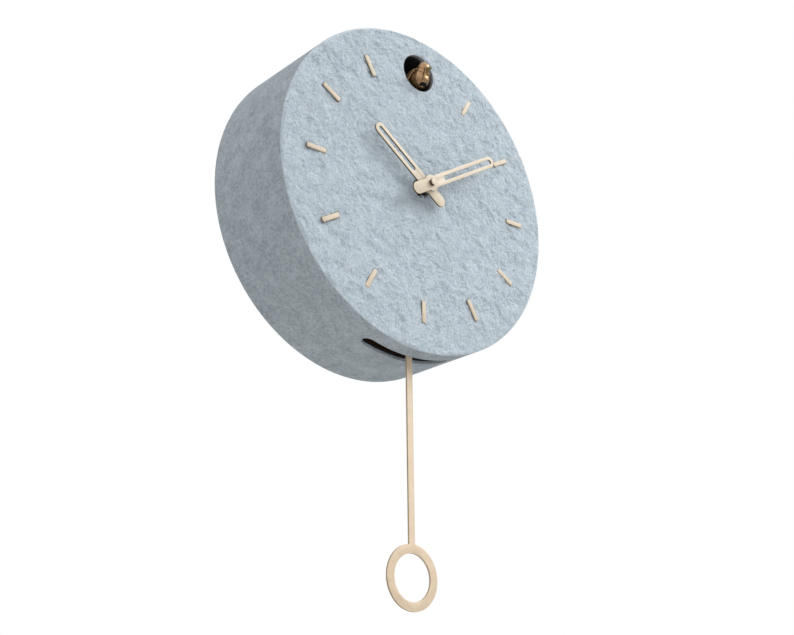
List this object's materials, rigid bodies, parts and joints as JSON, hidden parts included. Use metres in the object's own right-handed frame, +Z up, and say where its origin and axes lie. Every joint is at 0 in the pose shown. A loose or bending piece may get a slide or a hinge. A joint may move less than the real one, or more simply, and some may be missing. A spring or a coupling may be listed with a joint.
{
  "type": "pendulum wall clock",
  "caption": "Round drum wall clock with hour bars, slotted hands, a bird in a round window at twelve and a ring pendulum hanging from a slot.",
  "frame": {"origin": "on the hand axis in the wall plane, where the rear bumpers touch the wall", "axes": "+Z up to the twelve o'clock side, the front looks along -Y, +X to the three o'clock side"},
  "size_m": [0.25, 0.0946, 0.4246],
  "materials": {
    "plaster": "matt plaster relief on fibreboard",
    "black_paper": "matt black",
    "fibreboard": "raw fibreboard",
    "block_wood": "sawn pine",
    "plated_steel": "zinc plated",
    "bumper_rubber": "matt",
    "painted_beige": "satin paint",
    "painted_hands": "satin paint",
    "painted_pendulum": "satin paint",
    "brass": "turned",
    "black_plastic": "moulded",
    "white_plastic": "moulded",
    "motor_steel": "pressed",
    "copper_wire": "enamelled copper wire",
    "circuit_green": "solder mask",
    "bird_bronze": "polished bronze",
    "speaker_cone": "pressed paper cone",
    "sensor_glass": "clear",
    "cell_jacket": "satin",
    "contact_metal": "nickel plated"
  },
  "bodies": {
    "case": {"dial_panel": "plaster", "case_band": "plaster", "window_liner": "black_paper", "rear_panel": "fibreboard", "case_blocks": "block_wood", "rear_screws": "plated_steel", "hanger_plate": "plated_steel", "hanger_rivets": "plated_steel", "wall_bumpers": "bumper_rubber", "hour_bar_1": "painted_beige", "hour_bar_2": "painted_beige", "hour_bar_3": "painted_beige", "hour_bar_4": "painted_beige", "hour_bar_5": "painted_beige", "hour_bar_6": "painted_beige", "hour_bar_7": "painted_beige", "hour_bar_8": "painted_beige", "hour_bar_9": "painted_beige", "hour_bar_10": "painted_beige", "hour_bar_11": "painted_beige", "fixing_nut": "brass", "dial_washer": "brass", "rubber_washer": "bumper_rubber", "movement_shell": "black_plastic", "movement_cover": "black_plastic", "motor_can": "motor_steel", "coil": "copper_wire", "circuit_board": "circuit_green", "drive_housing": "black_plastic", "drive_coil": "copper_wire", "pivot_pin": "plated_steel", "bird_frame": "black_plastic", "bird_motor": "motor_steel", "speaker": "speaker_cone", "sound_board": "circuit_green", "light_sensor": "sensor_glass", "battery_tray": "black_plastic", "cell_left": "cell_jacket", "cell_right": "cell_jacket", "battery_contacts": "contact_metal"},
    "minute_train": {"minute_hand": "painted_hands", "centre_cap": "painted_hands", "centre_wheel": "brass"},
    "hour_train": {"hour_hand": "painted_hands", "hour_wheel": "white_plastic"},
    "motion_train": {"motion_wheel": "white_plastic"},
    "third_train": {"third_arbor": "plated_steel"},
    "knob": {"setting_knob": "white_plastic"},
    "pendulum_arm": {"hanger_arm": "white_plastic", "arm_magnet": "plated_steel", "pendulum": "painted_pendulum"},
    "bird": {"bird_carriage": "white_plastic", "bird_body": "bird_bronze"},
    "pinion": {"drive_pinion": "white_plastic"},
    "left_wing": {"bird_wing_left": "bird_bronze"},
    "right_wing": {"bird_wing_right": "bird_bronze"},
    "lower_beak": {"bird_beak": "bird_bronze"},
    "volume": {"volume_slider": "white_plastic"},
    "night": {"night_slider": "white_plastic"},
    "tray_cover": {"battery_cover": "black_plastic"}
  },
  "joints": [
    {"name": "minute_turn", "type": "hinge", "parent": "case", "child": "minute_train", "pos_m": [0, -0.08, 0], "axis": [0, 1, 0], "continuous": true},
    {"name": "hour_turn", "type": "hinge", "parent": "case", "child": "hour_train", "pos_m": [0, -0.08, 0], "axis": [0, 1, 0], "continuous": true},
    {"name": "motion_turn", "type": "hinge", "parent": "case", "child": "motion_train", "pos_m": [-0.00849, -0.0729, -0.00849], "axis": [0, 1, 0], "continuous": true},
    {"name": "third_turn", "type": "hinge", "parent": "case", "child": "third_train", "pos_m": [0.0068, -0.0729, 0.01178], "axis": [0, 1, 0], "continuous": true},
    {"name": "knob_turn", "type": "hinge", "parent": "case", "child": "knob", "pos_m": [-0.00249, -0.0729, -0.01888], "axis": [0, 1, 0], "continuous": true},
    {"name": "pendulum_swing", "type": "hinge", "parent": "case", "child": "pendulum_arm", "pos_m": [0, -0.0644, -0.038], "axis": [0, 1, 0], "range_deg": [-12, 12]},
    {"name": "bird_slide", "type": "slide", "parent": "case", "child": "bird", "axis": [0, -1, 0], "range_m": [-0.014, 0.004]},
    {"name": "pinion_turn", "type": "hinge", "parent": "case", "child": "pinion", "pos_m": [0, -0.033, 0.08455], "axis": [1, 0, 0], "range_deg": [-168, 48]},
    {"name": "wing_lift", "type": "hinge", "parent": "bird", "child": "right_wing", "pos_m": [-0.0063, -0.08, 0.09525], "axis": [0, 1, 0], "range_deg": [0, 15]},
    {"name": "left_wing_lift", "type": "hinge", "parent": "bird", "child": "left_wing", "pos_m": [0.0063, -0.08, 0.09525], "axis": [0, -1, 0], "range_deg": [0, 15]},
    {"name": "beak_open", "type": "hinge", "parent": "bird", "child": "lower_beak", "pos_m": [0, -0.0874, 0.09285], "axis": [1, 0, 0], "range_deg": [0, 7.5]},
    {"name": "volume_slide", "type": "slide", "parent": "case", "child": "volume", "axis": [0, 0, 1], "range_m": [0, 0.005]},
    {"name": "night_slide", "type": "slide", "parent": "case", "child": "night", "axis": [0, 0, 1], "range_m": [0, 0.005]},
    {"name": "cover_slide", "type": "slide", "parent": "case", "child": "tray_cover", "axis": [0, 0, 1], "range_m": [0, 0.035]}
  ],
  "couplings": [
    {"joint": "hour_turn", "follows": "minute_turn", "ratio": 0.083333},
    {"joint": "motion_turn", "follows": "minute_turn", "ratio": -0.33333},
    {"joint": "third_turn", "follows": "minute_turn", "ratio": -7.5},
    {"joint": "knob_turn", "follows": "minute_turn", "ratio": 1},
    {"joint": "pinion_turn", "follows": "bird_slide", "rad_per_m": 208.33},
    {"joint": "left_wing_lift", "follows": "wing_lift", "ratio": 1},
    {"joint": "beak_open", "follows": "wing_lift", "ratio": 0.5}
  ]
}
